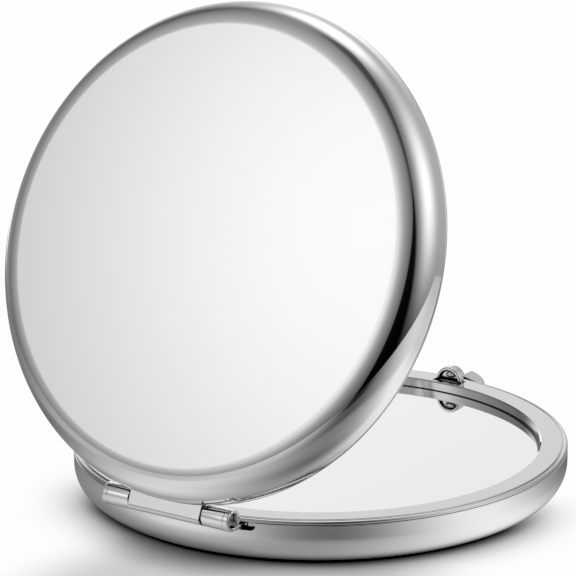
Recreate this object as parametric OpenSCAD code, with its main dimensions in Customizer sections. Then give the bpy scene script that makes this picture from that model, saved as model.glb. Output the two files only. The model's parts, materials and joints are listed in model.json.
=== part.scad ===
// Round double mirror compact, drawn open with its lid leaning over the base.
// Millimetres. +Z is up, the hinge is at +Y and the thumb button at -Y.
// The origin is the centre of the flat underside of the base.

/* [Body] */
// Outer radius of both halves
body_r = 35; // [32:0.5:40]
// Height of one half, from its outer face to its bezel face
half_h = 7; // [6.6:0.1:8]
// Radius of the rounded edge of each shell
corner_r = 4.4; // [3.4:0.1:4.4]
// Wall of the pressed shells
shell_t = 0.7; // [0.5:0.05:0.8]
// Radius of the slight crown of the lid's outer face
crown_r = 1500; // [900:50:4000]
// Gap between the two bezels when the compact is shut
shut_gap = 0.3; // [0.2:0.05:0.5]
// Opening angle of the lid as drawn, from shut
lid_open = 66.4; // [20:0.1:150]

/* [Bezel] */
// Width of the ring between the mirror opening and the outer wall
ring_w = 3.9; // [3.8:0.1:5]
// Depth of the mirror face below the bezel face
recess = 1.4; // [1.2:0.02:1.5]
// Width of the groove between the flat ring and the rolled bead
groove_w = 0.3; // [0.2:0.05:0.35]
// Depth of that groove
groove_d = 0.3; // [0.2:0.05:0.35]
// Section radius of the rolled bead
bead_r = 0.3; // [0.2:0.01:0.35]
// Drop of the bead's top below the bezel face
bead_drop = 0.1; // [0:0.01:0.15]
// Wall of the skirt that presses into the shell
skirt_t = 1; // [0.8:0.05:1.2]
// Reach of the skirt below the straight part of the shell's wall
skirt_under = 0.4; // [0.2:0.05:0.4]
// Clearance between the skirt and the shell
skirt_gap = 0.05; // [0.03:0.01:0.1]

/* [Mirrors] */
// Width of the glass rim that lies under the bezel
glass_lap = 0.3; // [0.2:0.05:0.4]
// Thickness of the glass
glass_t = 1; // [0.8:0.05:1.1]
// Radius of curvature of the magnifying mirror in the lid
magnifier_r = 800; // [600:50:1500]
// Thickness of the adhesive pad behind the flat mirror
pad_t = 0.3; // [0.2:0.05:0.4]
// Step of the pad and the tray inside the edge of the glass
pad_inset = 0.5; // [0.3:0.1:1]
// Width of the ring of foam behind the magnifying mirror
foam_w = 6; // [3:0.5:10]

/* [Trays] */
// Plate of the moulded tray that carries a mirror
tray_t = 0.8; // [0.6:0.05:1]
// Thickness of the tray's ribs and spokes
rib_t = 0.9; // [0.6:0.05:1.2]
// Radius of the tray's inner rib
rib_in_r = 12; // [8:0.5:16]
// Inset of the tray's outer rib from the edge of its plate
rib_inset = 1.2; // [0.8:0.1:2]
// Number of spokes between the two ribs
spokes = 8; // [6:2:12]

/* [Hinge] */
// Distance of the hinge axis outside the shell's wall
hinge_out = 0.7; // [0.5:0.1:1]
// Outer radius of the rolled knuckles
knuckle_r = 1.55; // [1.4:0.05:1.6]
// Sheet thickness of the hinge leaves
leaf_t = 0.55; // [0.4:0.05:0.6]
// Length of the middle knuckle, which belongs to the lid
mid_len = 12.1; // [9:0.1:13]
// Length of each outer knuckle, which belongs to the base
outer_len = 4.5; // [3.5:0.1:5]
// Gap between neighbouring knuckles
knuckle_gap = 0.16; // [0.1:0.02:0.3]
// Running clearance between the pin and the knuckles
pin_gap = 0.05; // [0.03:0.01:0.08]
// Depth of the pin's ends inside the outer knuckles
pin_sunk = 0.45; // [0.2:0.05:1]
// Clearance that the bezels keep around the knuckles
relief_gap = 0.2; // [0.15:0.05:0.3]
// Length of the notch in the shells past each end of the hinge
notch_over = 1.5; // [1:0.1:2]
// Depth of that notch below the bezel face
notch_d = 2.2; // [2:0.1:2.4]
// Corner radius of that notch
notch_r = 0.7; // [0.4:0.1:0.8]
// Radius of the rivets that hold the leaves to the bezels
rivet_r = 0.45; // [0.3:0.05:0.5]

/* [Latch] */
// Radius of the half-round thumb button
button_r = 4; // [3.5:0.1:4.4]
// Height of the thumb button
button_h = 3.4; // [2.8:0.1:3.5]
// Radius of the button's rounded edges
button_edge = 0.8; // [0.4:0.1:1.2]
// Drop of the button's top below the bezel face
button_drop = 0.7; // [0.65:0.05:0.9]
// Distance of the button's middle inside the shell's wall
button_inset = 0.3; // [0:0.1:0.5]
// Inward travel of the button
travel = 0.75; // [0.6:0.05:0.8]
// Radius of the hook's round head
head_r = 2.1; // [1.8:0.1:2.3]
// Thickness of the hook's head
head_t = 1.8; // [1.6:0.1:1.9]
// Radius of the rounded edge of the head
head_edge = 0.7; // [0.3:0.1:0.8]
// Width of the hook's plate
hook_w = 5.8; // [5:0.1:6.2]
// Thickness of the hook's plate
hook_t = 0.9; // [0.7:0.05:1]
// Distance of the plate's outer face inside the shell's wall
hook_inset = 1.6; // [1.5:0.05:1.7]
// Overhang of the hook's nose past its plate
nose = 0.75; // [0.6:0.05:0.8]
// Thickness of the lip in the lid's bezel that the nose catches
keeper_t = 0.6; // [0.58:0.02:0.65]
// Thickness of the sliding plate
slide_t = 0.6; // [0.5:0.05:0.7]
// Length of the sliding plate behind the hook
slide_len = 6.5; // [5:0.5:8]
// Play between the latch's moving and fixed pieces
play = 0.15; // [0.1:0.01:0.2]
// Length of the return spring
spring_len = 4; // [3:0.5:5]
// Mean radius of the return spring's coils
coil_r = 0.6; // [0.5:0.05:0.65]
// Radius of the spring's wire
wire_r = 0.12; // [0.08:0.01:0.15]
// Number of turns of the return spring
turns = 6; // [4:1:7]
// Wall of the folded guide that the slide runs in
guide_t = 0.5; // [0.4:0.05:0.6]

/* [Hidden] */
$fn = 96;
// Overrun of the cutting shapes past the faces that they cut
over = 1;
// Smoothness of the very shallow curves and of the small round parts
shallow_fn = 1440;
small_fn = 48;

// The shut compact's middle plane holds the hinge axis
parting_z = half_h + shut_gap / 2;
floor_z = shell_t;
window_r = body_r - ring_w;
bezel_back_z = half_h - recess;
shell_in_r = body_r - shell_t;
skirt_r = shell_in_r - skirt_gap;
// Height at which the crowned shell's wall becomes straight
wall_z = edge_mid_z(body_r, corner_r, crown_r);
skirt_z = wall_z - skirt_under;
flat_r = body_r - 2 * bead_r - groove_w + bead_r / 2;
rim_z = half_h - bead_drop - 2 * bead_r;

glass_r = window_r + glass_lap;
pad_r = glass_r - pad_inset;
base_pad_z = bezel_back_z - glass_t - pad_t;
base_tray_z = base_pad_z - tray_t;
// Depth of the curved mirror's middle below its edge, and of its back
dish = magnifier_r - sqrt(magnifier_r * magnifier_r - glass_r * glass_r);
foam_z = bezel_back_z - glass_t - dish - pad_t;
lid_tray_z = foam_z - tray_t;

hinge_y = body_r + hinge_out;
pin_r = knuckle_r - leaf_t - pin_gap;
bore_r = pin_r + pin_gap;
hinge_w = mid_len + 2 * knuckle_gap + 2 * outer_len;
leaf_z = parting_z - knuckle_r;
leaf_top_z = leaf_z + leaf_t;
leaf_in_y = window_r + glass_lap + pad_inset;
// The leaf's plate stops short of the knuckles, and only their tabs go on
tab_y = hinge_y - knuckle_r - relief_gap;
relief_r = knuckle_r + relief_gap;
notch_w = hinge_w + 2 * notch_over;
notch_z = half_h - notch_d;
// Small clearance between pieces that are fixed to each other
slack = 0.1;
// Slit between a knuckle's rolled end and its leaf
curl_slit = 0.2;
rivet_y = (leaf_in_y + tab_y) / 2;
rivet_head_r = 2 * rivet_r;
rivet_head_h = 0.9 * rivet_r;
rivet_depth = leaf_t / 2;
rivet_gap = 0.03;
outer_x = mid_len / 2 + knuckle_gap + outer_len / 2;
lid_rivet_x = mid_len / 3;

// The latch, with lengths along -Y counted from the middle outwards
button_top_z = half_h - button_drop;
button_z = button_top_z - button_h;
window_w = 2 * (button_r + play + slack);
button_y = body_r - button_inset;
button_in_y = button_y - button_edge;
button_stop_y = button_in_y - travel - play - slack;
hook_y = body_r - hook_inset;
hook_in_y = hook_y - hook_t;
nose_y = hook_y + nose;
head_in_y = nose_y - head_t;
head_z = half_h - slack / 2;
// The hook's plate ends just under the bezel face, in a slot with play
plate_top_z = half_h - play;
slot_w = hook_w + 6 * play;
slot_out_y = hook_y + play;
slot_in_y = hook_in_y - travel - play;
// The lip in the lid stands just outside the plate when the nose is behind it
keeper_in_y = head_in_y - travel - slack;
pocket_w = 2 * (head_r + 2 * play);
nose_z = half_h + shut_gap + keeper_t + slack / 2;
slide_top_z = base_tray_z - play;
slide_z = slide_top_z - slide_t;
slide_end_y = hook_in_y - slide_len;
spring_z = (floor_z + base_tray_z) / 2;
stop_y = slide_end_y - spring_len;
// The guide stands on the flat of the shell's floor
guide_w = hook_w + 2 * play;
guide_out_w = guide_w + 2 * guide_t;
guide_front_y = sqrt(pow(body_r - corner_r, 2) - pow(guide_out_w / 2, 2));
ledge_w = guide_t;
spring_room = 2 * (coil_r + wire_r + play);
spring_steps = 10;
spring_rings = turns * spring_steps;
spring_sides = 6;

// A half is drawn with its outer face at z = 0 and its bezel face at half_h.
// The lid is a half turned over on the base and swung open about the hinge.
module as_lid() {
    translate([0, hinge_y, parting_z])
        rotate([-lid_open, 0, 0])
            translate([0, -hinge_y, parting_z])
                mirror([0, 0, 1])
                    children();
}

// A box from its middle in X, and from its lowest to its highest Y and Z
module block(w, y0, y1, z0, z1) {
    translate([-w / 2, y0, z0])
        cube([w, y1 - y0, z1 - z0]);
}

// A rod along X, centred on x = mid
module rod(r, len, mid, y, z) {
    translate([mid - len / 2, y, z])
        rotate([0, 90, 0])
            cylinder(r = r, h = len);
}

// Height of the middle of a shell's round edge, which sits higher on a crown
function edge_mid_z(r, c, crown) =
    crown > 0 ? crown - sqrt(pow(crown - c, 2) - pow(r - c, 2)) : c;

// Section of a shell's outline: a face, a round edge and a straight wall.
// With a crown the face is a very large arc that meets the edge smoothly.
module outline(r, c, top, crown) {
    mid_r = r - c;
    mid_z = edge_mid_z(r, c, crown);
    join_r = crown > 0 ? mid_r * crown / (crown - c) : mid_r;
    if (crown > 0)
        intersection() {
            square([join_r, mid_z]);
            translate([0, crown])
                circle(r = crown, $fn = shallow_fn);
        }
    else
        square([join_r, mid_z]);
    translate([mid_r, mid_z])
        intersection() {
            circle(r = c);
            translate([0, -c])
                square([c, c]);
        }
    translate([0, mid_z])
        square([r, top - mid_z]);
}

// The pressed shell with its hinge notch; crown = 0 gives a flat face
module shell(crown) {
    crown_in = crown > 0 ? crown - shell_t : 0;
    difference() {
        rotate_extrude()
            difference() {
                outline(body_r, corner_r, rim_z, crown);
                translate([0, shell_t])
                    outline(shell_in_r, corner_r - shell_t, rim_z, crown_in);
            }
        hinge_notch();
    }
}

// Round-cornered cut through the wall under the hinge
module hinge_notch() {
    y0 = window_r - over;
    y1 = body_r + over;
    block(notch_w, y0, y1, notch_z + notch_r, half_h + over);
    block(notch_w - 2 * notch_r, y0, y1, notch_z, half_h);
    for (side = [-1, 1])
        translate([side * (notch_w / 2 - notch_r), y1, notch_z + notch_r])
            rotate([90, 0, 0])
                cylinder(r = notch_r, h = y1 - y0);
}

// The cast bezel: flat ring, groove, rolled bead and skirt
module bezel_ring() {
    rotate_extrude() {
        translate([window_r, bezel_back_z])
            square([skirt_r - window_r, rim_z - bezel_back_z]);
        translate([window_r, rim_z])
            square([flat_r - window_r, half_h - rim_z]);
        translate([skirt_r - skirt_t, skirt_z])
            square([skirt_t, bezel_back_z + bead_r - skirt_z]);
        translate([flat_r - bead_r, rim_z])
            square([body_r - flat_r, half_h - groove_d - rim_z]);
        translate([body_r - bead_r, rim_z + bead_r])
            circle(r = bead_r, $fn = small_fn);
    }
}

// Room for the knuckles, the leaf and its rivets in a bezel
module hinge_room(leaf_w, rivet_x) {
    rod(relief_r, notch_w, 0, hinge_y, parting_z);
    block(notch_w, window_r, body_r + over, -over, bezel_back_z);
    block(leaf_w + 2 * slack, leaf_in_y - slack, body_r + over, -over, leaf_top_z);
    for (side = [-1, 1])
        translate([side * rivet_x, rivet_y, leaf_z])
            cylinder(r = rivet_r + rivet_gap, h = leaf_t + rivet_depth, $fn = small_fn);
}

// Slot for the hook, and the way through the skirt for the button
module latch_room() {
    block(slot_w, -slot_out_y, -slot_in_y, bezel_back_z - over, half_h + over);
    block(window_w, -body_r - over, -hook_in_y, -over, bezel_back_z);
    block(window_w, -body_r - over, -button_stop_y, -over, button_top_z + slack);
}

// Pocket for the hook's head behind the keeper lip
module keeper_room() {
    block(pocket_w, -slot_out_y, -keeper_in_y, bezel_back_z - over, half_h + over);
    block(pocket_w, -body_r, -keeper_in_y, -over, half_h - keeper_t);
}

// Curled knuckles on a leaf; spans lists each knuckle's middle and length
module leaf(w, spans, rivet_x) {
    difference() {
        union() {
            block(w, leaf_in_y, tab_y, leaf_z, leaf_top_z);
            for (span = spans) {
                rod(knuckle_r, span[1], span[0], hinge_y, parting_z);
                translate([span[0], 0, 0])
                    block(span[1], tab_y, hinge_y, leaf_z, leaf_top_z);
            }
        }
        for (span = spans) {
            rod(bore_r, span[1] + 2 * over, span[0], hinge_y, parting_z);
            translate([span[0], 0, 0])
                block(span[1] + knuckle_gap, hinge_y - knuckle_r - over,
                    hinge_y - bore_r / 2, leaf_top_z, leaf_top_z + curl_slit);
        }
        for (side = [-1, 1])
            translate([side * rivet_x, rivet_y, leaf_z - over])
                cylinder(r = rivet_r + rivet_gap, h = leaf_t + 2 * over, $fn = small_fn);
    }
}

// Two rivets whose round heads sit under a leaf
module rivets(rivet_x) {
    for (side = [-1, 1])
        translate([side * rivet_x, rivet_y, leaf_z])
            rotate_extrude($fn = small_fn) {
                square([rivet_r, leaf_t + rivet_depth - rivet_gap]);
                translate([0, -rivet_head_h])
                    square([rivet_head_r - rivet_head_h / 2, rivet_head_h]);
                translate([rivet_head_r - rivet_head_h / 2, -rivet_head_h / 2])
                    circle(r = rivet_head_h / 2);
            }
}

// A ribbed tray with its plate from z to z + tray_t, standing on the shell
module tray(z, crown) {
    rib_r = pad_r - rib_inset;
    floor_out = shell_floor(rib_r, crown);
    rotate_extrude() {
        translate([0, z])
            square([pad_r, tray_t]);
        for (r = [rib_r, rib_in_r])
            translate([r - rib_t, shell_floor(r, crown)])
                square([rib_t, z + tray_t / 2 - shell_floor(r, crown)]);
    }
    for (i = [0 : spokes - 1])
        rotate([0, 0, (i + 0.5) * 360 / spokes])
            translate([rib_in_r - rib_t / 2, -rib_t / 2, floor_out])
                cube([rib_r - rib_in_r, rib_t, z + tray_t / 2 - floor_out]);
}

// Height of a shell's inner face at radius r
function shell_floor(r, crown) =
    crown > 0 ? crown - sqrt(pow(crown - shell_t, 2) - r * r) : shell_t;

module base_shell() {
    color("silver")
        difference() {
            shell(0);
            block(window_w, -body_r - over, -hook_in_y, button_z - slack, half_h + over);
        }
}

module base_bezel() {
    color("gainsboro")
        difference() {
            bezel_ring();
            hinge_room(hinge_w, outer_x);
            latch_room();
        }
}

module base_mirror() {
    color("lightsteelblue")
        translate([0, 0, bezel_back_z - glass_t])
            cylinder(r = glass_r, h = glass_t);
}

module base_mirror_pad() {
    color("dimgray")
        translate([0, 0, base_pad_z])
            cylinder(r = pad_r, h = pad_t);
}

module base_tray() {
    color("darkslategray")
        difference() {
            tray(base_tray_z, 0);
            block(guide_out_w + 2 * play, -body_r, -stop_y + 2 * guide_t, -over, base_tray_z);
        }
}

module hinge_base_leaf() {
    color("gainsboro")
        leaf(hinge_w, [[-outer_x, outer_len], [outer_x, outer_len]], outer_x);
}

module hinge_base_rivets() {
    color("darkgray")
        rivets(outer_x);
}

module hinge_pin() {
    color("gray")
        rod(pin_r, hinge_w - 2 * pin_sunk, 0, hinge_y, parting_z);
}

// Folded guide: two cheeks with ledges for the slide, a window in its floor
// that the spring drops through, and the spring's stop
module latch_guide() {
    color("slategray")
        difference() {
            block(guide_out_w, -guide_front_y, -stop_y + guide_t, floor_z, slide_top_z + play / 2);
            block(guide_w, -body_r, -stop_y, slide_z, half_h);
            block(guide_w - 2 * ledge_w, -body_r, -stop_y, floor_z + guide_t, half_h);
            block(spring_room, -slide_end_y - travel, -stop_y, -over, half_h);
        }
}

// Round-headed hook on the plate that slides in the guide
module latch_hook() {
    color("darkgray") {
        block(hook_w, -hook_y, -hook_in_y, slide_z, plate_top_z);
        block(hook_w, -hook_in_y, -slide_end_y, slide_z, slide_top_z);
        block(hook_w / 2, -slide_end_y - slide_t, -slide_end_y, floor_z + guide_t + play,
            slide_top_z);
        difference() {
            translate([0, -nose_y, head_z])
                rotate([-90, 0, 0])
                    round_coin(head_r, head_t, head_edge);
            block(4 * head_r, -nose_y - over, -hook_y, -over, nose_z);
            block(4 * head_r, -hook_in_y, over, -over, half_h + slack);
            block(4 * head_r, -nose_y - over, over, -over, half_h - head_r / 2);
        }
    }
}

// A disc from z = 0 to z = t with rounded edges
module round_coin(r, t, edge) {
    rotate_extrude() {
        square([r - edge, t]);
        translate([0, edge])
            square([r, t - 2 * edge]);
        for (z = [edge, t - edge])
            translate([r - edge, z])
                circle(r = edge, $fn = small_fn);
    }
}

// Half-round thumb button with the stem that meets the hook's plate
module latch_button() {
    stem_w = hook_w - 2 * button_edge;
    color("gainsboro") {
        difference() {
            translate([0, -button_y, button_z])
                round_coin(button_r, button_h, button_edge);
            block(4 * button_r, -button_in_y, over, -over, half_h + over);
        }
        block(stem_w, -button_y, -hook_y, button_z + button_edge, button_top_z - button_edge);
    }
}

// Point j of ring i of the spring's wire, along a helix about the Y axis
function spring_point(i, j) = let (
    around = 360 * i / spring_steps,
    spin = 360 * j / spring_sides,
    reach = coil_r + wire_r * cos(spin),
    run = (spring_len - 2 * wire_r - play) * i / spring_rings
) [reach * cos(around), run + wire_r * sin(spin), reach * sin(around)];

// Coil spring between the slide and its stop
module latch_spring() {
    points = [for (i = [0 : spring_rings]) for (j = [0 : spring_sides - 1]) spring_point(i, j)];
    walls = [for (i = [0 : spring_rings - 1]) for (j = [0 : spring_sides - 1])
        let (k = (j + 1) % spring_sides, a = i * spring_sides, b = a + spring_sides)
        each [[a + j, a + k, b + k], [a + j, b + k, b + j]]];
    last = spring_rings * spring_sides;
    start = [for (j = [1 : spring_sides - 2]) [0, j + 1, j]];
    end = [for (j = [1 : spring_sides - 2]) [last, last + j, last + j + 1]];
    color("gray")
        translate([0, -slide_end_y + wire_r + play / 2, spring_z])
            polyhedron(points = points, faces = concat(walls, start, end));
}

module lid_shell() {
    color("silver")
        as_lid()
            shell(crown_r);
}

module lid_bezel() {
    color("gainsboro")
        as_lid()
            difference() {
                bezel_ring();
                hinge_room(mid_len, lid_rivet_x);
                keeper_room();
            }
}

// Magnifying mirror: glass slumped to a shallow dish
module lid_mirror() {
    color("lightsteelblue")
        as_lid()
            rotate_extrude()
                intersection() {
                    translate([0, foam_z])
                        square([glass_r, bezel_back_z - foam_z]);
                    translate([0, bezel_back_z - dish + magnifier_r])
                        difference() {
                            circle(r = magnifier_r + glass_t, $fn = shallow_fn);
                            circle(r = magnifier_r, $fn = shallow_fn);
                        }
                }
}

// Ring of foam between the curved glass and the tray, with a top that slopes
// as the back of the glass does halfway across it
module lid_mirror_pad() {
    back_r = magnifier_r + glass_t;
    mid_r = pad_r - foam_w / 2;
    drop = sqrt(back_r * back_r - mid_r * mid_r);
    mid_z = bezel_back_z - dish + magnifier_r - drop;
    rise = foam_w / 2 * mid_r / drop;
    color("dimgray")
        as_lid()
            rotate_extrude()
                polygon([[pad_r - foam_w, foam_z], [pad_r, foam_z],
                    [pad_r, mid_z + rise], [pad_r - foam_w, mid_z - rise]]);
}

module lid_tray() {
    color("darkslategray")
        as_lid()
            tray(lid_tray_z, crown_r);
}

module hinge_lid_leaf() {
    color("gainsboro")
        as_lid()
            leaf(mid_len, [[0, mid_len]], lid_rivet_x);
}

module hinge_lid_rivets() {
    color("darkgray")
        as_lid()
            rivets(lid_rivet_x);
}

base_shell();
base_bezel();
base_mirror();
base_mirror_pad();
base_tray();
hinge_base_leaf();
hinge_base_rivets();
hinge_pin();
latch_guide();
latch_hook();
latch_button();
latch_spring();
lid_shell();
lid_bezel();
lid_mirror();
lid_mirror_pad();
lid_tray();
hinge_lid_leaf();
hinge_lid_rivets();
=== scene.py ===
import json
import logging
import math
from collections.abc import Callable, Iterator
from contextlib import contextmanager
from dataclasses import dataclass, field
from enum import Enum

import bmesh
import bpy
import numpy as np
from mathutils import Matrix, Vector


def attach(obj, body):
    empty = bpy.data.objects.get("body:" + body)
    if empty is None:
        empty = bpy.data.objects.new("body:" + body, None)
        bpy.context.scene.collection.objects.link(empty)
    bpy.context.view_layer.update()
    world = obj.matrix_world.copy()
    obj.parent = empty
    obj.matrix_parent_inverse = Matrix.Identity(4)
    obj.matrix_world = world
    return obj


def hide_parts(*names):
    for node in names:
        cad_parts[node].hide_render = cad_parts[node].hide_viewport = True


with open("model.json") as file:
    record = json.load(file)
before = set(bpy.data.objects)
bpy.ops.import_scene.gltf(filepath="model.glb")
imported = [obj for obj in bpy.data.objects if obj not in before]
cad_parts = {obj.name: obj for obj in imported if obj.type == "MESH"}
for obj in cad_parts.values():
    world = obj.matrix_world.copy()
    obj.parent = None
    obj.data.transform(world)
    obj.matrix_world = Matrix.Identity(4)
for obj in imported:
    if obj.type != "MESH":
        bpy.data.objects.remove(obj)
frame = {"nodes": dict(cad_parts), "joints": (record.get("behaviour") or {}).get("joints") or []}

log = logging.getLogger("compact")
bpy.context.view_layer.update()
MM = 0.001
OVER = 1.0  # millimetres that a cut runs past a surface
WIDE = 20.0  # millimetres, wider than the latch
HIGH = 9.0  # millimetres, above all of one half
WHITE = (1.0, 1.0, 1.0, 1.0)
Point = tuple[float, float]
Spot = tuple[float, float, float]
Colour = tuple[float, float, float]
Piece, Mesh, Shape = bpy.types.Object, bpy.types.Mesh, bmesh.types.BMesh
Node, Socket, Outputs = bpy.types.Node, bpy.types.NodeSocket, bpy.types.NodeOutputs


def joint_named(name: str) -> dict:
    """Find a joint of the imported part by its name."""
    return next(joint for joint in frame["joints"] if joint["name"] == name)


class Side(Enum):
    """The two halves of the compact, each of which is a body of its own."""

    BASE = "base"
    LID = "lid"

    def place(self) -> Matrix:
        """Matrix from a half's own millimetres, outer face at z = 0, to the row frame.

        Returns:
            The base's plain scale, or the lid's turn over and about the hinge as drawn.
        """
        if self is Side.BASE:
            return Matrix.Scale(MM, 4)
        hinge = joint_named("lid_hinge")
        _, y, z = hinge["pos_m"]
        swing = Matrix.Rotation(math.radians(hinge["range_deg"][0]), 4, "X")
        turned_over = Matrix.Diagonal((MM, MM, -MM, 1.0))
        return Matrix.Translation((0, y, z)) @ swing @ Matrix.Translation((0, -y, z)) @ turned_over


class NodeChain:
    """A short way to add nodes and links to one node tree."""

    def __init__(self, tree: bpy.types.NodeTree) -> None:
        """Empty the tree that the nodes go into, and keep it."""
        self.tree = tree
        self.tree.nodes.clear()

    def add(self, kind: str, settings: dict | None = None, **inputs: object) -> Node:
        """Add one node.

        Args:
            kind: the node's type name.
            settings: properties of the node itself, such as operation.
            inputs: values or sockets by input name, with _ for a space, or in0, in1 by number.

        Returns:
            The new node.
        """
        node = self.tree.nodes.new(kind)
        for name, value in (settings or {}).items():
            setattr(node, name, value)
        for name, value in inputs.items():
            number = name[2:]
            key = int(number) if number.isdigit() else name.replace("_", " ")
            socket = node.inputs[key]
            if isinstance(value, Socket):
                self.tree.links.new(value, socket)
            else:
                socket.default_value = value
        return node

    def math(self, operation: str, *values: object, kind: str = "ShaderNodeMath") -> Socket:
        """Add a Math node, or another kind with an operation, and return its first output."""
        inputs = {f"in{i}": value for i, value in enumerate(values)}
        return self.add(kind, {"operation": operation}, **inputs).outputs[0]

    def vector(self, operation: str, *values: object) -> Socket:
        """Add a Vector Math node and return its vector."""
        return self.math(operation, *values, kind="ShaderNodeVectorMath")

    def measure(self, operation: str, *values: object) -> Socket:
        """Add a Vector Math node and return its value, such as a length."""
        return self.vector(operation, *values).node.outputs["Value"]

    def open_air(self, distance: float, samples: int) -> Socket:
        """Add ambient occlusion over a distance and return it: 0 in a corner, 1 in the open."""
        node = self.add("ShaderNodeAmbientOcclusion", {"samples": samples}, Distance=distance)
        return node.outputs["AO"]

    def blend(self, share: Socket, low: Colour, high: Colour) -> Socket:
        """Add a colour Mix node, low where the share is 0 and high at 1, and return its output.

        Args:
            share: the socket that chooses.
            low: the colour at 0.
            high: the colour at 1.

        Returns:
            The socket that holds the colour.
        """
        node = self.add("ShaderNodeMix", {"data_type": "RGBA"}, Factor=share, in6=(*low, 1.0),
                        in7=(*high, 1.0))
        return node.outputs[2]

    def switch(self, share: Socket, off: Node, on: Node) -> Node:
        """Add a Mix Shader node between two shader nodes and return it."""
        return self.add("ShaderNodeMixShader", in0=share, in1=off.outputs[0], in2=on.outputs[0])

    def ramp(self, value: Socket, low: float, high: float,
             start: float = 0.0, end: float = 1.0) -> Socket:
        """Add a smooth Map Range node and return its output.

        Args:
            value: the socket that is mapped.
            low: the value that maps to start.
            high: the value that maps to end.
            start: the result at low.
            end: the result at high.

        Returns:
            The socket that holds the result.
        """
        node = self.add("ShaderNodeMapRange", {"interpolation_type": "SMOOTHSTEP"}, Value=value,
                        From_Min=low, From_Max=high, To_Min=start, To_Max=end)
        return node.outputs["Result"]


def toward(azimuth: float, elevation: float) -> Vector:
    """Unit vector to a place round the object; azimuth 0 is the button's side, 90 the right."""
    a, e = math.radians(azimuth), math.radians(elevation)
    return Vector((math.sin(a) * math.cos(e), -math.cos(a) * math.cos(e), math.sin(e)))


def new_material(name: str) -> tuple[bpy.types.Material, NodeChain, Socket]:
    """Start a material.

    Args:
        name: its name.

    Returns:
        The material, its node tree, and the place on the object in metres.
    """
    material = bpy.data.materials.new(name)
    material.use_nodes = True
    chain = NodeChain(material.node_tree)
    return material, chain, chain.add("ShaderNodeTexCoord").outputs["Object"]


@dataclass(frozen=True)
class Finish:
    """A finish: the name of its material, and a slot name that is not used."""

    name: str
    slot: str

    def shade(self, chain: NodeChain, place: Socket) -> Node:
        """Build the finish's shader.

        Args:
            chain: the material's node tree.
            place: the place on the object.

        Returns:
            The shader node.
        """
        raise NotImplementedError

    def material(self) -> bpy.types.Material:
        """Build the finish's material, once.

        Returns:
            The material.
        """
        if self.name in bpy.data.materials:
            return bpy.data.materials[self.name]
        material, chain, place = new_material(self.name)
        chain.add("ShaderNodeOutputMaterial", Surface=self.shade(chain, place).outputs["BSDF"])
        return material


@dataclass(frozen=True)
class Plating(Finish):
    """Bright chrome plate, with faint polishing haze and painted shade that darkens creases where
    pieces meet.
    """

    colour: Colour
    roughness: float
    haze: float
    haze_scale: float
    ripple: float
    crease: float = 0.0
    crease_span: Point = (0.2, 0.6)
    # near-black colour of the painted crease shade
    crease_shade: Colour = (0.03, 0.03, 0.03)

    def shade(self, chain: NodeChain, place: Socket) -> Node:
        """Build the plating's shader.

        Args:
            chain: the material's node tree.
            place: the place on the object.

        Returns:
            The shader node.
        """
        cloud = chain.add("ShaderNodeTexNoise", Vector=place, Scale=self.haze_scale, Detail=4.0)
        haze = chain.ramp(cloud.outputs["Fac"], 0.3, 0.75, self.roughness, self.roughness + self.haze)
        swell = chain.add("ShaderNodeTexNoise", Vector=place, Scale=self.haze_scale * 0.4, Detail=1.0)
        bump = chain.add("ShaderNodeBump", Strength=self.ripple, Distance=0.02 * MM,
                         Height=swell.outputs["Fac"])
        shader = chain.add("ShaderNodeBsdfPrincipled", Base_Color=(*self.colour, 1.0), Metallic=1.0,
                           Roughness=haze, Normal=bump.outputs["Normal"])
        # Painted shade: where ambient occlusion finds a crease or recess, the colour turns to the
        # crease shade.
        if self.crease:
            shade_share = chain.ramp(chain.open_air(self.crease, 12), *self.crease_span)
            shaded_colour = chain.blend(shade_share, self.crease_shade, self.colour)
            chain.tree.links.new(shaded_colour, shader.inputs["Base Color"])
        return shader


@dataclass(frozen=True)
class Matt(Finish):
    """A matt finish such as foam, moulded plastic or bare steel."""

    dark: Colour
    light: Colour
    metallic: float
    roughness: float
    grain_scale: float
    grain_depth: float

    def shade(self, chain: NodeChain, place: Socket) -> Node:
        """Build the matt shader, with its grain.

        Args:
            chain: the material's node tree.
            place: the place on the object.

        Returns:
            The shader node.
        """
        noise = chain.add("ShaderNodeTexNoise", Vector=place, Scale=self.grain_scale, Detail=6.0)
        grain = noise.outputs["Fac"]
        bump = chain.add("ShaderNodeBump", Strength=0.5, Distance=self.grain_depth, Height=grain)
        return chain.add("ShaderNodeBsdfPrincipled", Metallic=self.metallic, Roughness=self.roughness,
                         Base_Color=chain.blend(grain, self.dark, self.light),
                         Normal=bump.outputs["Normal"])


@dataclass(frozen=True)
class Silvering(Finish):
    """Silvered glass, whose silver stops short of the edge in a dark line, painted as shade for the
    glass's thick edge.
    """

    side: Side
    edge_w: float
    colour: Colour = (0.95, 0.955, 0.96)
    # dark colour of the painted edge shade line
    line: Colour = (0.05, 0.05, 0.052)
    edge_r: float = 31.1
    line_share: float = 0.6

    def shade(self, chain: NodeChain, place: Socket) -> Node:
        """Build the mirror's shader, with the painted edge shade line measured from the half's own
        axis.

        Args:
            chain: the material's node tree.
            place: the place on the object.

        Returns:
            The shader node.
        """
        half = self.side.place()
        axis = (half.to_3x3() @ Vector((0, 0, 1))).normalized()
        across = chain.vector("CROSS_PRODUCT", chain.vector("SUBTRACT", place, half.translation), axis)
        # Painted shade: a dark line round the glass's edge.
        edge = chain.ramp(chain.measure("LENGTH", across), (self.edge_r - self.edge_w) * MM,
                          (self.edge_r - self.edge_w * self.line_share) * MM)
        dust = chain.add("ShaderNodeTexNoise", Vector=place, Scale=70.0, Detail=3.0)
        haze = chain.ramp(dust.outputs["Fac"], 0.4, 0.8, 0.004, 0.012)
        return chain.add("ShaderNodeBsdfPrincipled", Metallic=1.0, Roughness=haze,
                         Base_Color=chain.blend(edge, self.colour, self.line))


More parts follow.
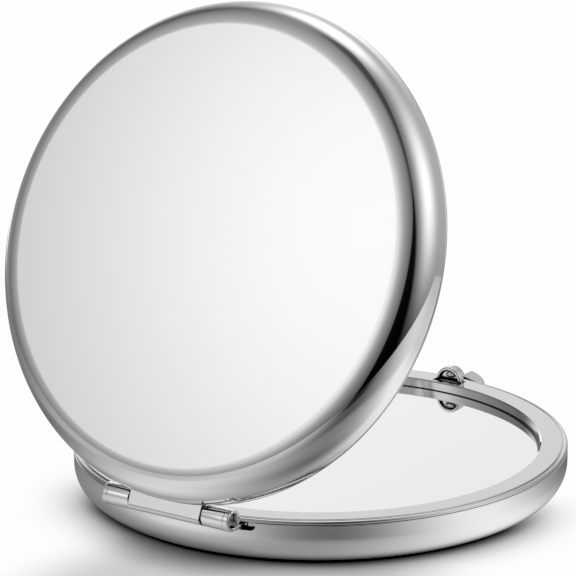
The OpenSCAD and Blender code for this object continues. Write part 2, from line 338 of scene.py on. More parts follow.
SHELL_CHROME = Plating("polished_shell", "shell_chrome", (0.93, 0.93, 0.935), 0.035, 0.03, 60.0, 0.03)
BEZEL_CHROME = Plating("plated_ring", "bezel_chrome", (0.7, 0.7, 0.705), 0.06, 0.04, 90.0, 0.04)
# The last numbers of the hinge, pin and latch platings set the reach of their painted crease shade.
HINGE_CHROME = Plating("plated_leaf", "hinge_chrome", (0.94, 0.94, 0.945), 0.04, 0.03, 200.0, 0.05,
                       0.4 * MM)
# Painted shade: the middle knuckle gets a darker copy of the hinge plating, for the shade of the lid
# above it.
SHADED_LUG_CHROME = Plating("shaded_lug_plating", "hinge_chrome", (0.74, 0.74, 0.745), 0.06, 0.05, 160.0, 0.06,
                     0.4 * MM)
PIN_STEEL = Plating("cut_pin", "bare_steel", (0.55, 0.55, 0.56), 0.25, 0.1, 400.0, 0.1, 1.2 * MM)
# The latch's wide painted crease shade turns the hook's sunk face nearly black.
LATCH_CHROME = Plating("plated_latch", "latch_chrome", (0.78, 0.78, 0.785), 0.04, 0.03, 200.0, 0.05,
                       2.0 * MM, (0.42, 0.74))
# The last number is the width in millimetres of each glass's painted edge shade line.
BASE_GLASS = Silvering("base_mirror_glass", "mirror_glass", Side.BASE, 0.45)
LID_GLASS = Silvering("lid_mirror_glass", "mirror_glass", Side.LID, 0.25)
FOAM = Matt("adhesive_foam", "pad_foam", (0.03, 0.03, 0.032), (0.07, 0.07, 0.072), 0.0, 0.95, 2500.0,
            0.05 * MM)
PLASTIC = Matt("moulded_tray", "tray_plastic", (0.02, 0.02, 0.022), (0.035, 0.035, 0.038), 0.0, 0.5,
               1500.0, 0.02 * MM)
STEEL = Matt("drawn_steel", "bare_steel", (0.42, 0.42, 0.43), (0.62, 0.62, 0.63), 1.0, 0.32, 1200.0,
             0.01 * MM)


@dataclass(frozen=True)
class HalfSizes:
    """Sizes in millimetres of one half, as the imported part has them."""

    body_r: float = 35.0
    half_h: float = 7.0
    corner_r: float = 4.4
    shell_t: float = 0.7
    crown_r: float = 1500.0
    ring_w: float = 3.9
    recess: float = 1.4
    groove_w: float = 0.3
    groove_d: float = 0.3
    bead_r: float = 0.3
    bead_drop: float = 0.1
    chamfer: float = 0.2
    skirt_t: float = 1.0
    skirt_z: float = 4.0
    skirt_gap: float = 0.05
    base_rim_edge: float = 0.12
    lid_rim_edge: float = 0.04
    rim_in_edge: float = 0.06
    back_edge: float = 0.12
    skirt_edge: float = 0.2
    groove_edge: float = 0.05
    flat_edge: float = 0.09
    chamfer_edge: float = 0.03
    glass_lap: float = 0.3
    glass_t: float = 1.0
    magnifier_r: float = 800.0
    hinge_y: float = 35.7
    parting_z: float = 7.15
    knuckle_r: float = 1.55
    bore_r: float = 1.0
    pin_r: float = 0.95
    leaf_t: float = 0.55
    leaf_in_y: float = 31.9
    relief_r: float = 1.75
    lug_room: float = 0.2
    mid_room: float = 0.3
    leaf_room: float = 0.1
    rivet_room_r: float = 0.48
    rivet_room_h: float = 1.6
    rivet_room_z: float = 0.02
    mid_len: float = 12.1
    outer_len: float = 4.5
    outer_x: float = 8.46
    notch_w: float = 24.42
    notch_z: float = 5.2
    notch_r: float = 0.7
    hook_y: float = 33.4
    hook_in_y: float = 32.5
    hook_w: float = 5.8
    hook_room: float = 0.15

    @property
    def window_r(self) -> float:
        """Radius of the mirror's opening."""
        return self.body_r - self.ring_w

    @property
    def back_z(self) -> float:
        """Height of the bezel's back, which the glass touches."""
        return self.half_h - self.recess

    @property
    def rim_z(self) -> float:
        """Height of the shell's rim."""
        return self.half_h - self.bead_drop - 2 * self.bead_r

    @property
    def flat_r(self) -> float:
        """Outer radius of the bezel's flat ring."""
        return self.body_r - 2 * self.bead_r - self.groove_w + self.bead_r / 2

    @property
    def tab_y(self) -> float:
        """Place along Y where a leaf's plate ends and its tabs go on."""
        return self.hinge_y - self.relief_r

    @property
    def leaf_z(self) -> float:
        """Height of a leaf's lower face."""
        return self.parting_z - self.knuckle_r

    @property
    def rivet_y(self) -> float:
        """Place of the rivets along Y."""
        return (self.leaf_in_y + self.tab_y) / 2


SIZES = HalfSizes()


class Profile:
    """A closed outline in a half's (r, z) plane, in millimetres, with the outside on its right."""

    def __init__(self) -> None:
        """Start an empty outline."""
        self.steps: list[tuple] = []

    def corner(self, r: float, z: float, rounding: float = 0.0) -> "Profile":
        """Add a corner between two straight runs, rounded if a radius is given."""
        self.steps.append(("corner", (r, z), rounding))
        return self

    def bow(self, centre: Point, radius: float, start: float, end: float, pieces: int) -> "Profile":
        """Add an arc from start to end in degrees, where end is past start if it bulges out."""
        self.steps.append(("bow", centre, radius, start, end, pieces))
        return self

    def _ends(self, step: tuple) -> tuple[np.ndarray, np.ndarray]:
        """First and last point of a step, before any rounding.

        Args:
            step: the step.

        Returns:
            The two points.
        """
        if step[0] == "corner":
            return np.array(step[1]), np.array(step[1])
        _, centre, radius, start, end, _ = step
        first, last = (np.array(centre) + radius * np.array((math.cos(a), math.sin(a)))
                       for a in (math.radians(start), math.radians(end)))
        return first, last

    def trace(self) -> tuple[np.ndarray, np.ndarray, np.ndarray]:
        """Draw the outline.

        Returns:
            The points, and the outward normals at the start and the end of the run after each.
        """
        points: list[np.ndarray] = []
        arcs: list[tuple | None] = []

        def put(point: np.ndarray, arc: tuple | None) -> None:
            """Add a point, and the arc that the run up to it lies on.

            Args:
                point: the point.
                arc: the arc's centre and sign, or None for a straight run.
            """
            if points and np.linalg.norm(point - points[-1]) < 1e-6:
                return
            points.append(point)
            arcs.append(arc)

        def sweep(centre: np.ndarray, radius: float, start: float, turn: float, pieces: int) -> None:
            """Add the points of an arc, from its start and its turn in radians.

            Args:
                centre: its centre.
                radius: its radius.
                start: the angle of its first point.
                turn: the angle that it covers, below 0 on a hollow.
                pieces: the number of its runs.
            """
            sign = 1.0 if turn > 0 else -1.0
            for i in range(pieces + 1):
                angle = start + turn * i / pieces
                spot = centre + radius * np.array((math.cos(angle), math.sin(angle)))
                put(spot, (centre, sign) if i else None)

        count = len(self.steps)
        for i, step in enumerate(self.steps):
            if step[0] == "bow":
                _, centre, radius, start, end, pieces = step
                sweep(np.array(centre), radius, math.radians(start), math.radians(end - start), pieces)
                continue
            spot, rounding = np.array(step[1]), step[2]
            if not rounding:
                put(spot, None)
                continue
            u = self._ends(self.steps[i - 1])[1] - spot
            v = self._ends(self.steps[(i + 1) % count])[0] - spot
            u, v = u / np.linalg.norm(u), v / np.linalg.norm(v)
            half = math.acos(float(np.clip(u @ v, -1, 1))) / 2
            reach = rounding / math.tan(half)
            centre = spot + (u + v) / np.linalg.norm(u + v) * rounding / math.sin(half)
            first, last = spot + u * reach - centre, spot + v * reach - centre
            a = math.atan2(first[1], first[0])
            turn = math.atan2(first[0] * last[1] - first[1] * last[0], float(first @ last))
            sweep(centre, rounding, a, turn, max(4, round(abs(turn) * 5)))
        path = np.array(points)
        ahead = np.roll(path, -1, axis=0)
        run = ahead - path
        normal = np.stack((run[:, 1], -run[:, 0]), axis=1)
        normal /= np.linalg.norm(normal, axis=1)[:, None]
        begin, finish = normal.copy(), normal.copy()
        for i in range(len(path)):
            arc = arcs[(i + 1) % len(path)]
            if arc is not None:
                centre, sign = arc
                for out, spot in ((begin, path[i]), (finish, ahead[i])):
                    out[i] = sign * (spot - centre) / np.linalg.norm(spot - centre)
        return path, begin, finish


@contextmanager
def editing(mesh: Mesh) -> Iterator[Shape]:
    """Open a mesh for editing, and write it back at the end.

    Args:
        mesh: the mesh, which may still be empty.

    Yields:
        The shape that is edited.
    """
    shape = bmesh.new()
    shape.from_mesh(mesh)
    yield shape
    shape.to_mesh(mesh)
    shape.free()


def box_place(w: float, y0: float, y1: float, z0: float, z1: float) -> Matrix:
    """Matrix that makes a unit cube a box, from its width in X and its ends in Y and Z."""
    middle = Matrix.Translation((0, (y0 + y1) / 2, (z0 + z1) / 2))
    return middle @ Matrix.Diagonal((w, y1 - y0, z1 - z0, 1.0))


class Cutter:
    """Boxes and rods in millimetres that are cut out of a piece."""

    turns: dict[str, Matrix] = {
        "X": Matrix.Rotation(math.pi / 2, 4, "Y"), "Y": Matrix.Rotation(math.pi / 2, 4, "X"),
        "Z": Matrix.Identity(4),
    }

    def __init__(self) -> None:
        """Start with nothing to cut."""
        self.parts: list[Piece] = []

    def _keep(self, create: Callable, **settings: object) -> "Cutter":
        """Create one closed shape and keep it as an object.

        Args:
            create: the operator that makes it.
            settings: the operator's settings.

        Returns:
            The cutter itself.
        """
        mesh = bpy.data.meshes.new("cutter")
        with editing(mesh) as shape:
            create(shape, **settings)
            bmesh.ops.recalc_face_normals(shape, faces=shape.faces)
        self.parts.append(bpy.data.objects.new("cutter", mesh))
        return self

    def block(self, w: float, y0: float, y1: float, z0: float, z1: float) -> "Cutter":
        """Add a box from its width in X and its lowest and highest Y and Z."""
        return self._keep(bmesh.ops.create_cube, size=1.0, matrix=box_place(w, y0, y1, z0, z1))

    def rod(self, radius: float, length: float, y: float, z: float, x: float = 0.0,
            axis: str = "X") -> "Cutter":
        """Add a rod along X, Y or Z, from the middle of its length.

        Args:
            radius: its radius.
            length: its length.
            y: place of its middle along Y.
            z: place of its middle along Z.
            x: place of its middle along X.
            axis: the axis that it follows.

        Returns:
            The cutter itself.
        """
        return self._keep(bmesh.ops.create_cone, cap_ends=True, segments=96, radius1=radius,
                          radius2=radius, depth=length,
                          matrix=Matrix.Translation((x, y, z)) @ self.turns[axis])

    def cut(self, piece: Piece) -> None:
        """Cut every shape out of the piece, one after the other.

        Args:
            piece: the piece.
        """
        for part in self.parts:
            bpy.context.scene.collection.objects.link(part)
            modifier = piece.modifiers.new("cut", "BOOLEAN")
            modifier.operation = "DIFFERENCE"
            modifier.solver = "EXACT"
            modifier.object = part
        apply_modifiers(piece)
        for part in self.parts:
            bpy.data.objects.remove(part)


def apply_modifiers(piece: Piece) -> None:
    """Turn an object's modifiers into a plain mesh.

    Args:
        piece: the object.
    """
    graph = bpy.context.evaluated_depsgraph_get()
    mesh = bpy.data.meshes.new_from_object(piece.evaluated_get(graph))
    piece.modifiers.clear()
    piece.data = mesh


def link_mesh(name: str, mesh: Mesh) -> Piece:
    """Put a mesh into the scene as an object.

    Args:
        name: the object's name.
        mesh: its mesh.

    Returns:
        The object.
    """
    piece = bpy.data.objects.new(name, mesh)
    bpy.context.scene.collection.objects.link(piece)
    return piece


def hand_over(piece: Piece, body: str, finish: Finish, *nodes: str) -> None:
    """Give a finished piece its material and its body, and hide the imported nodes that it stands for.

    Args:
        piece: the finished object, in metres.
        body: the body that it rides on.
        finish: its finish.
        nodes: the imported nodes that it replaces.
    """
    piece.data.materials.clear()
    piece.data.materials.append(finish.material())
    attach(piece, body)
    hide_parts(*nodes)
    log.info("made %s, %d faces, on %s", piece.name, len(piece.data.polygons), body)


def tree_socket(tree: bpy.types.NodeTree, name: str, kind: str, way: str = "INPUT") -> str:
    """Add a named socket to a tree's interface and return its identifier."""
    return tree.interface.new_socket(name=name, in_out=way, socket_type=f"NodeSocket{kind}").identifier


class MeshTree:
    """A Geometry Nodes tree with named inputs, which is put on a piece and applied."""

    def __init__(self, name: str, source: str, result: str, kinds: dict[str, str]) -> None:
        """Build the tree: its sockets, its own nodes, then one plain mesh in its finish.

        Args:
            name: the tree's name.
            source: the name of the geometry that goes in.
            result: the name of the geometry that comes out.
            kinds: the socket types of its other inputs, by name.
        """
        self.tree = bpy.data.node_groups.new(name, "GeometryNodeTree")
        chain = NodeChain(self.tree)
        tree_socket(self.tree, source, "Geometry")
        self.inputs = {key: tree_socket(self.tree, key, kind) for key, kind in kinds.items()}
        tree_socket(self.tree, result, "Geometry", "OUTPUT")
        given = chain.add("NodeGroupInput").outputs
        real = chain.add("GeometryNodeRealizeInstances", Geometry=self.build(chain, given))
        dressed = chain.add("GeometryNodeSetMaterial", Geometry=real.outputs[0],
                            Material=given["Finish"])
        chain.add("NodeGroupOutput", in0=dressed.outputs[0])

    def build(self, chain: NodeChain, given: Outputs) -> Socket:
        """Add the tree's own nodes.

        Args:
            chain: the tree's nodes.
            given: the sockets of its inputs.

        Returns:
            The socket that holds the geometry.
        """
        raise NotImplementedError

    def run(self, piece: Piece, finish: Finish, values: dict[str, float]) -> None:
        """Put the tree on a piece with its inputs filled in, and apply it.

        Args:
            piece: the piece.
            finish: the finish that the tree sets.
            values: the values of its other inputs, by name.
        """
        modifier = piece.modifiers.new(self.tree.name, "NODES")
        modifier.node_group = self.tree
        for name, value in values.items():
            modifier[self.inputs[name]] = value
        modifier[self.inputs["Finish"]] = finish.material()
        apply_modifiers(piece)


class Lathe(MeshTree):
    """Turns a closed outline about Z."""

    def __init__(self) -> None:
        """Build the tree with its named inputs."""
        super().__init__("lathe", "Outline", "Turned",
                         {"Outline points": "Int", "Segments": "Int", "Finish": "Material"})

    def build(self, chain: NodeChain, given: Outputs) -> Socket:
        """Bend a grid round the axis, with one column for each step and a row for each point.

        Args:
            chain: the tree's nodes.
            given: the sockets of its inputs.

        Returns:
            The socket that holds the geometry.
        """
        rows = chain.math("ADD", given["Outline points"], 1.0)
        columns = chain.math("ADD", given["Segments"], 1.0)
        sheet = chain.add("GeometryNodeMeshGrid", Vertices_X=columns, Vertices_Y=rows).outputs["Mesh"]
        index = chain.add("GeometryNodeInputIndex").outputs[0]
        column = chain.math("FLOOR", chain.math("DIVIDE", chain.math("ADD", index, 0.5), rows))
        row = chain.math("SUBTRACT", index, chain.math("MULTIPLY", column, rows))
        wrapped = chain.math("MODULO", row, given["Outline points"])
        place = chain.add("GeometryNodeInputPosition").outputs[0]
        sample = chain.add("GeometryNodeSampleIndex", {"data_type": "FLOAT_VECTOR"},
                           Geometry=given["Outline"], Value=place, Index=wrapped).outputs[0]
        spot = chain.add("ShaderNodeSeparateXYZ", Vector=sample).outputs
        angle = chain.math("MULTIPLY", chain.math("DIVIDE", column, given["Segments"]), math.tau)
        turned = chain.add("ShaderNodeCombineXYZ",
                           X=chain.math("MULTIPLY", spot["X"], chain.math("COSINE", angle)),
                           Y=chain.math("MULTIPLY", spot["X"], chain.math("SINE", angle)), Z=spot["Z"])
        moved = chain.add("GeometryNodeSetPosition", Geometry=sheet, Position=turned.outputs[0])
        closed = chain.add("GeometryNodeMergeByDistance", Geometry=moved.outputs[0], Distance=1e-4)
        return chain.add("GeometryNodeSetShadeSmooth", Geometry=closed.outputs[0]).outputs[0]

    def turn(self, name: str, profile: Profile, finish: Finish, segments: int = 360) -> Piece:
        """Turn an outline into a closed mesh in millimetres.

        Args:
            name: the new object's name.
            profile: the outline.
            finish: the finish that the tree sets.
            segments: steps round the axis.

        Returns:
            The object, in its half's own millimetres.
        """
        points, _, _ = profile.trace()
        count = len(points)
        mesh = bpy.data.meshes.new(name)
        runs = [(i, (i + 1) % count) for i in range(count)]
        mesh.from_pydata([(r, 0.0, z) for r, z in points], runs, [])
        piece = link_mesh(name, mesh)
        self.run(piece, finish, {"Outline points": count, "Segments": segments})
        with editing(piece.data) as shape:
            bmesh.ops.dissolve_degenerate(shape, dist=1e-5, edges=shape.edges)
            bmesh.ops.recalc_face_normals(shape, faces=shape.faces)
        return piece


class RivetRow(MeshTree):
    """Sets a rivet at both ends of a line along X."""

    def __init__(self) -> None:
        """Build the tree with its named inputs."""
        super().__init__("rivet_row", "Rivet", "Row",
                         {"Half spacing": "Float", "Count": "Int", "Finish": "Material"})

    def build(self, chain: NodeChain, given: Outputs) -> Socket:
        """Instance the rivet on the points of a line.

        Args:
            chain: the tree's nodes.
            given: the sockets of its inputs.

        Returns:
            The socket that holds the geometry.
        """
        start = chain.add("ShaderNodeCombineXYZ", X=chain.math("MULTIPLY", given["Half spacing"], -1.0))
        end = chain.add("ShaderNodeCombineXYZ", X=given["Half spacing"])
        line = chain.add("GeometryNodeMeshLine", {"mode": "END_POINTS"}, Count=given["Count"],
                         Start_Location=start.outputs[0], Offset=end.outputs[0])
        row = chain.add("GeometryNodeInstanceOnPoints", Points=line.outputs[0], Instance=given["Rivet"])
        return row.outputs[0]


def settle(piece: Piece, side: Side) -> None:
    """Bring a piece from its half's millimetres to its place in the row frame.

    Args:
        piece: the piece.
        side: the half that it is drawn in.
    """
    place = side.place()
    piece.data.transform(place)
    if place.determinant() < 0:
        piece.data.flip_normals()


def polish(piece: Piece, profile: Profile, side: Side) -> None:
    """Give a turned piece the exact normals of its outline, and its cuts flat ones.

    Args:
        piece: the turned and cut piece, in place.
        profile: the outline that it was turned from.
        side: the half that it belongs to.
    """
    mesh = piece.data
    place = side.place()
    spin = np.array(place.to_3x3()) / MM
    origin = np.array(place.translation)

    def gather(items: bpy.types.bpy_prop_collection, name: str, width: int = 3) -> np.ndarray:
        """Read one property of every item, as rows of three or as plain whole numbers.

        Args:
            items: the mesh's vertices, faces or corners.
            name: the property.
            width: 3 for places and normals, 1 for whole numbers.

        Returns:
            The values.
        """
        values = np.empty(len(items) * width, float if width > 1 else int)
        items.foreach_get(name, values)
        return values.reshape(-1, width) if width > 1 else values

    spots = (gather(mesh.vertices, "co") - origin) @ spin / MM
    middles = (gather(mesh.polygons, "center") - origin) @ spin / MM
    normals = gather(mesh.polygons, "normal") @ spin
    corners = spots[gather(mesh.loops, "vertex_index", 1)]
    face = np.repeat(np.arange(len(mesh.polygons)), gather(mesh.polygons, "loop_total", 1))

    path, begin, finish = profile.trace()
    run = np.roll(path, -1, axis=0) - path
    length = np.maximum((run ** 2).sum(1), 1e-12)

    def follow(rz: np.ndarray, which: np.ndarray | slice) -> tuple[np.ndarray, np.ndarray]:
        """Distance from each point to the chosen runs, and the outline's normal there.

        Args:
            rz: the points.
            which: the runs, by number.

        Returns:
            The distances and the normals.
        """
        share = np.clip(((rz - path[which]) * run[which]).sum(-1) / length[which], 0, 1)[..., None]
        gap = np.linalg.norm(rz - path[which] - share * run[which], axis=-1)
        out = begin[which] * (1 - share) + finish[which] * share
        return gap, out / np.linalg.norm(out, axis=-1)[..., None]

    around = np.arctan2(middles[:, 1], middles[:, 0])
    radial = normals[:, 0] * np.cos(around) + normals[:, 1] * np.sin(around)
    rz = np.stack((np.hypot(middles[:, 0], middles[:, 1]), middles[:, 2]), axis=1)
    gap, out = follow(rz[:, None, :], slice(None))
    match = out[..., 0] * radial[:, None] + out[..., 1] * normals[:, 2][:, None]
    best = np.argmin(gap + 0.3 * (1 - match), axis=1)
    rows = np.arange(len(best))
    turned = (gap[rows, best] < 0.03) & (match[rows, best] > 0.9)
    away = np.hypot(corners[:, 0], corners[:, 1])
    _, out = follow(np.stack((away, corners[:, 2]), axis=1), best[face])
    angle = np.where(away < 1e-3, around[face], np.arctan2(corners[:, 1], corners[:, 0]))
    exact = np.stack((out[:, 0] * np.cos(angle), out[:, 0] * np.sin(angle), out[:, 1]), axis=1)
    result = np.where(turned[face][:, None], exact, normals[face]) @ spin.T
    mesh.polygons.foreach_set("use_smooth", np.ones(len(mesh.polygons), bool))
    mesh.normals_split_custom_set(result.tolist())


def crisp(piece: Piece, angle: float = 35.0) -> None:
    """Shade a piece smooth between its sharp edges, with its flats kept flat.

    Args:
        piece: the piece, whose modifiers are applied.
        angle: degrees past which an edge is sharp.
    """
    piece.data.polygons.foreach_set("use_smooth", [True] * len(piece.data.polygons))
    piece.data.set_sharp_from_angle(angle=math.radians(angle))
    weighted = piece.modifiers.new("weighted", "WEIGHTED_NORMAL")
    weighted.mode = "FACE_AREA"
    weighted.keep_sharp = True
    apply_modifiers(piece)


def complete(piece: Piece, side: Side, finish: Finish, node: str, body: str = "",
             profile: Profile | None = None) -> None:
    """Bring a piece into place, shade it and hand it over.

    Args:
        piece: the piece, in its half's own millimetres.
        side: the half that it is drawn in.
        finish: its finish.
        node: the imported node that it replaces.
        body: the body that it rides on, if that isn't the half.
        profile: the outline that its normals follow, if it was turned as a whole.
    """
    settle(piece, side)
    if profile:
        polish(piece, profile, side)
    else:
        crisp(piece)
    hand_over(piece, body or side.value, finish, node)


@dataclass
class Half:
    """One half of the compact: its pressed shell, its bezel ring and its glass."""

    side: Side
    lathe: Lathe
    sizes: HalfSizes = SIZES

    def shell_outline(self) -> Profile:
        """Section of the pressed shell, with a crown on the lid.

        Returns:
            The outline, from the middle of the outer face to the middle of the inner one.
        """
        s = self.sizes
        mid_r = s.body_r - s.corner_r
        profile = Profile()
        if self.side is Side.BASE:
            profile.corner(0, 0)
            for share in (0.35, 0.7, 0.9):
                profile.corner(mid_r * share, 0)
            profile.bow((mid_r, s.corner_r), s.corner_r, -90, 0, 30)
            mid_z, tilt = s.corner_r, 0.0
        else:
            mid_z = s.crown_r - math.sqrt((s.crown_r - s.corner_r) ** 2 - mid_r ** 2)
            tilt = math.degrees(math.asin(mid_r / (s.crown_r - s.corner_r)))
            profile.bow((0, s.crown_r), s.crown_r, -90, -90 + tilt, 24)
            profile.bow((mid_r, mid_z), s.corner_r, -90 + tilt, 0, 30)
        profile.corner(s.body_r, s.rim_z, s.base_rim_edge if self.side is Side.BASE else s.lid_rim_edge)
        profile.corner(s.body_r - s.shell_t, s.rim_z, s.rim_in_edge)
        profile.bow((mid_r, mid_z), s.corner_r - s.shell_t, 0, -90 + tilt, 16)
        if self.side is Side.BASE:
            profile.corner(0, s.shell_t)
        else:
            profile.bow((0, s.crown_r), s.crown_r - s.shell_t, -90 + tilt, -90, 12)
        return profile

    def bezel_outline(self) -> Profile:
        """Section of the bezel: skirt, rolled bead, groove, flat ring and inner wall.

        Returns:
            The outline.
        """
        s = self.sizes
        skirt_r = s.body_r - s.shell_t - s.skirt_gap
        bead = (s.body_r - s.bead_r, s.rim_z + s.bead_r)
        groove_z = s.half_h - s.groove_d
        roll = 180 - math.degrees(math.asin((groove_z - bead[1]) / s.bead_r))
        profile = Profile()
        profile.corner(s.window_r, s.back_z, s.back_edge)
        profile.corner(skirt_r - s.skirt_t, s.back_z)
        profile.corner(skirt_r - s.skirt_t, s.skirt_z, s.skirt_edge / 2)
        profile.corner(skirt_r, s.skirt_z, s.skirt_edge)
        profile.corner(skirt_r, s.rim_z)
        profile.bow(bead, s.bead_r, -90, roll, 24)
        profile.corner(s.flat_r, groove_z, s.groove_edge)
        profile.corner(s.flat_r, s.half_h, s.flat_edge)
        for share in (0.25, 0.5, 0.75):
            profile.corner(s.flat_r + (s.window_r - s.flat_r) * share, s.half_h)
        profile.corner(s.window_r + s.chamfer, s.half_h, s.chamfer_edge)
        profile.corner(s.window_r, s.half_h - s.chamfer, s.chamfer_edge)
        return profile

    def hinge_notch(self) -> Cutter:
        """Round-cornered cut through the shell's wall under the hinge.

        Returns:
            The cutter.
        """
        s = self.sizes
        cutter = Cutter()
        y0, y1 = s.window_r - OVER, s.body_r + OVER
        cutter.block(s.notch_w, y0, y1, s.notch_z + s.notch_r, s.half_h + OVER)
        cutter.block(s.notch_w - 2 * s.notch_r, y0, y1, s.notch_z, s.half_h)
        for way in (-1, 1):
            cutter.rod(s.notch_r, y1 - y0, (y0 + y1) / 2, s.notch_z + s.notch_r,
                       way * (s.notch_w / 2 - s.notch_r), "Y")
        return cutter

    def hinge_room(self, leaf_w: float, rivet_x: float) -> Cutter:
        """Room for the knuckles, the leaf and its rivets in a bezel.

        Args:
            leaf_w: width of the leaf.
            rivet_x: place of its rivets.

        Returns:
            The cutter.
        """
        s = self.sizes
        cutter = Cutter()
        cutter.rod(s.relief_r, s.notch_w, s.hinge_y, s.parting_z)
        cutter.rod(s.relief_r + s.lug_room, s.mid_len + s.mid_room, s.hinge_y, s.parting_z)
        cutter.block(s.notch_w, s.window_r, s.body_r + OVER, -OVER, s.back_z)
        cutter.block(leaf_w + 2 * s.leaf_room, s.leaf_in_y - s.leaf_room, s.body_r + OVER, -OVER,
                     s.leaf_z + s.leaf_t)
        for way in (-1, 1):
            cutter.rod(s.rivet_room_r, s.rivet_room_h, s.rivet_y, s.leaf_z + s.rivet_room_z,
                       way * rivet_x, "Z")
        return cutter

    def make(self, part: str, form: str, profile: Profile, finish: Finish, *cutters: Cutter) -> None:
        """Turn an outline, cut the piece and hand it over.

        Args:
            part: what it is, after the half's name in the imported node.
            form: what its own name ends with.
            profile: its outline.
            finish: its finish.
            cutters: what is cut out of it, in order.
        """
        node = f"{self.side.value}_{part}"
        piece = self.lathe.turn(f"{node}_{form}", profile, finish)
        for cutter in cutters:
            cutter.cut(piece)
        complete(piece, self.side, finish, node, profile=profile)

    def build_shell(self, *windows: Cutter) -> None:
        """Turn the shell and cut its notch, and windows if it has any."""
        self.make("shell", "pressing", self.shell_outline(), SHELL_CHROME, self.hinge_notch(), *windows)

    def build_bezel(self, leaf_w: float, rivet_x: float, rooms: Cutter) -> None:
        """Turn the bezel and cut its rooms, for its leaf and rivets and for the latch or its keeper."""
        self.make("bezel", "ring", self.bezel_outline(), BEZEL_CHROME,
                  self.hinge_room(leaf_w, rivet_x), rooms)


@dataclass
class BaseHalf(Half):
    """The half that lies on the table, with the flat mirror, and the latch's openings."""

    leaf_w: float = 21.42
    button_w: float = 8.5
    button_z: float = 2.8
    button_in_y: float = 32.9
    button_top_z: float = 6.4
    slot_w: float = 4.7
    slot_in: float = 0.85

    def build(self) -> None:
        """Build the base's shell and bezel, with the ways for the hook and the button."""
        s = self.sizes
        edge_y, inner_y = -s.body_r - OVER, -s.hook_in_y
        self.build_shell(Cutter().block(self.button_w, edge_y, inner_y, self.button_z, s.half_h + OVER))
        rooms = Cutter()
        rooms.block(self.slot_w, -s.hook_y - s.hook_room, inner_y + self.slot_in, s.back_z - OVER,
                    s.half_h + OVER)
        rooms.block(self.button_w, edge_y, inner_y, -OVER, s.back_z)
        rooms.block(self.button_w, edge_y, -self.button_in_y, -OVER, self.button_top_z)
        self.build_bezel(self.leaf_w, s.outer_x, rooms)


@dataclass
class LidHalf(Half):
    """The half that opens, with the magnifying mirror and the keeper for the hook."""

    keeper_w: float = 4.8
    keeper_in_y: float = 31.5
    lip_t: float = 0.6

    def build(self) -> None:
        """Build the lid's shell, bezel and curved glass."""
        s = self.sizes
        self.build_shell()
        keeper = Cutter()
        keeper.block(self.keeper_w, -s.hook_y - s.hook_room, -self.keeper_in_y, s.back_z - OVER,
                     s.half_h + OVER)
        keeper.block(self.keeper_w, -s.body_r, -self.keeper_in_y, -OVER, s.half_h - self.lip_t)
        self.build_bezel(s.mid_len, s.mid_len / 3, keeper)
        glass_r, back_r = s.window_r + s.glass_lap, s.magnifier_r + s.glass_t
        dish = s.magnifier_r - math.sqrt(s.magnifier_r ** 2 - glass_r ** 2)
        centre = (0.0, s.back_z - dish + s.magnifier_r)
        back, front = (math.degrees(math.asin(glass_r / radius)) for radius in (back_r, s.magnifier_r))
        profile = Profile().bow(centre, back_r, -90, -90 + back, 20)
        profile.bow(centre, s.magnifier_r, -90 + front, -90, 20)
        self.make("mirror", "dish", profile, LID_GLASS)


def loft(rings: list[list[Spot]], shape: Shape) -> None:
    """Join closed rings of points into a closed skin with flat ends.

    Args:
        rings: the rings, each with the same number of points.
        shape: the mesh that the skin is added to.
    """
    rows = [[shape.verts.new(point) for point in ring] for ring in rings]
    for one, two in zip(rows, rows[1:]):
        for i in range(len(one)):
            k = (i + 1) % len(one)
            shape.faces.new((one[i], one[k], two[k], two[i]))
    shape.faces.new(list(reversed(rows[0])))
    shape.faces.new(rows[-1])


